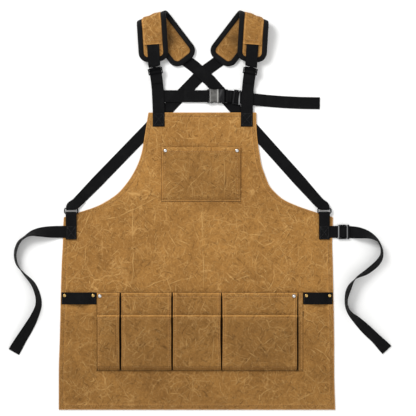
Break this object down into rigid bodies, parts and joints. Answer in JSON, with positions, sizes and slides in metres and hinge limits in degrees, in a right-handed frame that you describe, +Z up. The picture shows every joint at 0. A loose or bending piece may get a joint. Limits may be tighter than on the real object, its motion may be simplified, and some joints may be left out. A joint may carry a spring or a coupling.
{
  "type": "tool apron",
  "caption": "Waxed canvas tool apron laid flat, with waist and bib pockets, tool loops, padded shoulder straps crossed at the back, waist ties and a buckled chest strap.",
  "frame": {"origin": "middle of the footprint, on the surface that the apron lies on", "axes": "+X to the right of the front as it is seen in the picture, +Y from the hem to the shoulders, +Z up off the surface"},
  "size_m": [0.9564, 0.997, 0.0403],
  "materials": {
    "waxed_canvas": "waxed, matte with a slight sheen",
    "webbing": "woven, matte",
    "binding": "ribbed tape, slight sheen",
    "black_plastic": "moulded, fine grain",
    "grey_plastic": "moulded, fine grain",
    "silver_metal": "polished",
    "brass": "polished, slightly worn"
  },
  "bodies": {
    "root": {"apron_body": "waxed_canvas", "pocket_back_1": "waxed_canvas", "pocket_back_2": "waxed_canvas", "pocket_back_3": "waxed_canvas", "pocket_back_4": "waxed_canvas", "pocket_front_1": "waxed_canvas", "pocket_front_2": "waxed_canvas", "pocket_front_3": "waxed_canvas", "pocket_front_4": "waxed_canvas", "pocket_end_strip": "waxed_canvas", "bib_pocket": "waxed_canvas", "rivet_bib_left": "silver_metal", "rivet_bib_right": "silver_metal", "rivet_waist_left": "silver_metal", "rivet_waist_right": "silver_metal", "tool_loop_left": "webbing", "rivet_loop_left_left": "brass", "rivet_loop_left_right": "brass", "tool_loop_right": "webbing", "rivet_loop_right_left": "brass", "rivet_loop_right_right": "brass", "side_ring_left": "black_plastic", "side_tab_left": "webbing", "side_ring_right": "black_plastic", "side_tab_right": "webbing", "waist_tie_left": "webbing", "waist_tie_right": "webbing", "waist_slider": "black_plastic", "pad_core_left": "waxed_canvas", "pad_binding_left": "binding", "pad_cover_left": "waxed_canvas", "front_strap_left": "webbing", "strap_slider_left": "black_plastic", "strap_tail_left": "webbing", "pad_core_right": "waxed_canvas", "pad_binding_right": "binding", "pad_cover_right": "waxed_canvas", "front_strap_right": "webbing", "strap_slider_right": "black_plastic", "strap_tail_right": "webbing", "back_strap_left": "webbing", "back_strap_right": "webbing", "buckle_female": "grey_plastic", "buckle_male": "black_plastic", "chest_strap_left": "webbing", "chest_strap_right": "webbing", "chest_slider": "black_plastic"}
  },
  "joints": []
}
